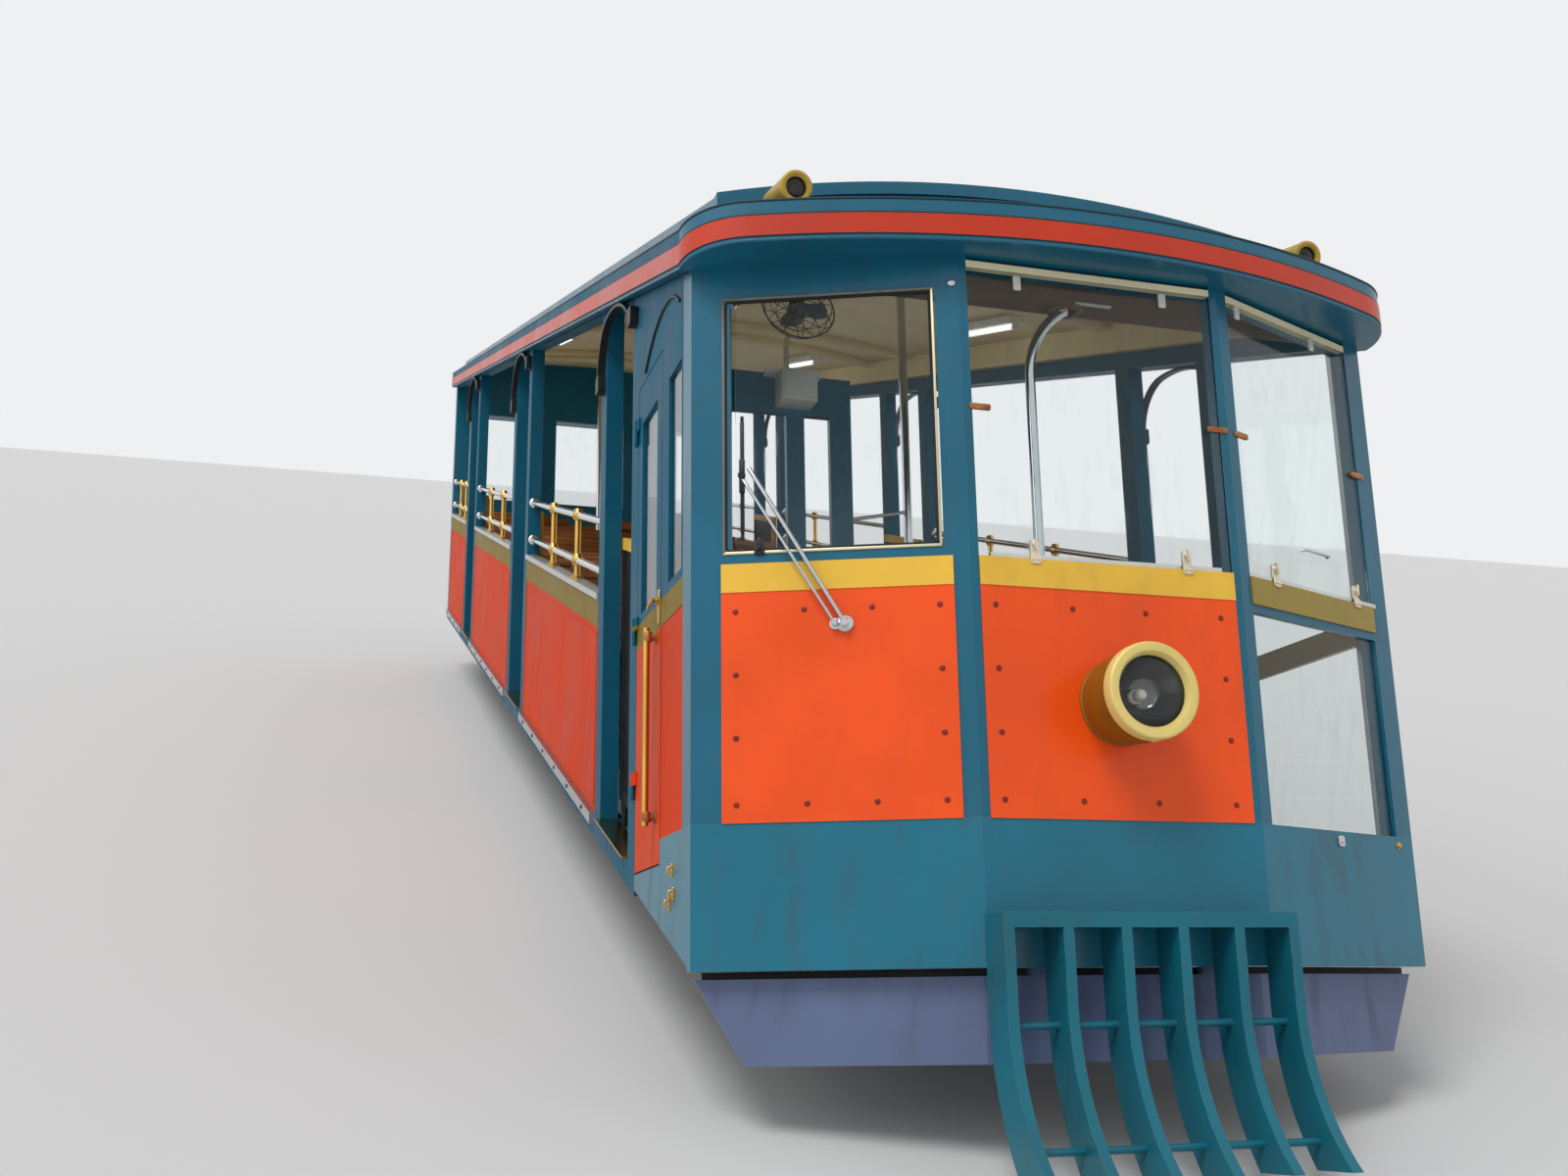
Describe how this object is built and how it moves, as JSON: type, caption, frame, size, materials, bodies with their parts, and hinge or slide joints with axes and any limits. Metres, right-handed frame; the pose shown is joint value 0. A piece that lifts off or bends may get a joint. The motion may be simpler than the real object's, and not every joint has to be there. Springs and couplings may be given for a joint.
{
  "type": "open funicular car",
  "caption": "Open observation funicular car with a bowed front, leaning posts, sliding low gates, stepped floor with benches, a driver's cab, and wheels for one guiding and one plain rail.",
  "frame": {"origin": "middle of the whole car's box in plan, at the foot of the wheel flanges", "axes": "+Y uphill along the track, +X to the right seen from the downhill front, +Z square to the track"},
  "size_m": [2.588, 11.8934, 2.9585],
  "materials": {
    "aluminium": "brushed",
    "black_paint": "matt",
    "brass": "polished",
    "bright_steel": "brushed",
    "ceiling_board": "matt",
    "chrome": "polished",
    "dark_steel": "greasy",
    "floor_sheet": "matt",
    "glass": "clear",
    "gold_lamp": "gloss",
    "grey_paint": "matt",
    "lens": "clear",
    "olive_paint": "satin",
    "red_paint": "satin",
    "rubber": "matt",
    "stripe_paint": "satin",
    "teal_paint": "satin, worn",
    "varnished_wood": "varnished",
    "wheel_steel": "worn bright tread",
    "yellow_paint": "satin"
  },
  "bodies": {
    "car_body": {"axle_boxes": "dark_steel", "axle_guards": "dark_steel", "belt_band": "yellow_paint", "benches": "varnished_wood", "cab_partition": "teal_paint", "cab_sides": "teal_paint", "cab_window_frame": "teal_paint", "cab_window_trim": "aluminium", "cantrails": "teal_paint", "ceiling": "ceiling_board", "cowcatcher": "teal_paint", "cross_bearers": "dark_steel", "door_straps": "black_paint", "door_treads": "brass", "driver_desk": "grey_paint", "eaves": "teal_paint", "floor": "floor_sheet", "front_header": "teal_paint", "front_panels": "red_paint", "front_posts": "teal_paint", "front_skirt": "teal_paint", "front_windows": "glass", "grab_poles": "chrome", "handrails": "chrome", "headlamp": "gold_lamp", "headlamp_lens": "lens", "rail_posts": "brass", "rear_wall": "teal_paint", "risers": "floor_sheet", "roof_lamps": "gold_lamp", "roof_rails": "teal_paint", "roof_shell": "teal_paint", "roof_stripe": "stripe_paint", "sheet_rails": "aluminium", "side_bands": "olive_paint", "side_panels": "red_paint", "side_posts": "teal_paint", "side_skirts": "teal_paint", "side_windows": "glass", "sill_caps": "aluminium", "sole_bars": "teal_paint", "springs": "dark_steel", "step_strips": "bright_steel", "tow_bar": "dark_steel", "underframe": "dark_steel", "valance": "grey_paint", "visor": "teal_paint", "visor_cap": "teal_paint", "wiper": "rubber"},
    "wheelset_front": {"wheelset_front": "wheel_steel"},
    "wheelset_rear": {"wheelset_rear": "wheel_steel"},
    "cab_door": {"cab_door": "teal_paint", "cab_door_glass": "glass", "cab_door_rail": "brass"},
    "gate_left_1": {"gate_left_1": "black_paint"},
    "gate_left_2": {"gate_left_2": "black_paint"},
    "gate_left_3": {"gate_left_3": "black_paint"},
    "gate_right_1": {"gate_right_1": "black_paint"},
    "gate_right_2": {"gate_right_2": "black_paint"},
    "gate_right_3": {"gate_right_3": "black_paint"}
  },
  "joints": [
    {"name": "front_wheels_turn", "type": "hinge", "parent": "car_body", "child": "wheelset_front", "pos_m": [0, -2.8305, 0.255], "axis": [1, 0, 0], "continuous": true},
    {"name": "rear_wheels_turn", "type": "hinge", "parent": "car_body", "child": "wheelset_rear", "pos_m": [0, 2.7695, 0.255], "axis": [1, 0, 0], "continuous": true},
    {"name": "gate_left_1_slide", "type": "slide", "parent": "car_body", "child": "gate_left_1", "axis": [0, 1, 0], "range_m": [0, 0.59]},
    {"name": "gate_left_2_slide", "type": "slide", "parent": "car_body", "child": "gate_left_2", "axis": [0, 1, 0], "range_m": [0, 0.59]},
    {"name": "gate_left_3_slide", "type": "slide", "parent": "car_body", "child": "gate_left_3", "axis": [0, 1, 0], "range_m": [0, 0.59]},
    {"name": "gate_right_1_slide", "type": "slide", "parent": "car_body", "child": "gate_right_1", "axis": [0, 1, 0], "range_m": [0, 0.59]},
    {"name": "gate_right_2_slide", "type": "slide", "parent": "car_body", "child": "gate_right_2", "axis": [0, 1, 0], "range_m": [0, 0.59]},
    {"name": "gate_right_3_slide", "type": "slide", "parent": "car_body", "child": "gate_right_3", "axis": [0, 1, 0], "range_m": [0, 0.59]},
    {"name": "cab_door_hinge", "type": "hinge", "parent": "car_body", "child": "cab_door", "pos_m": [-1.26, -3.94727, 1.35442], "axis": [0, 0.3272, 0.9449], "range_deg": [-100, 0]}
  ]
}
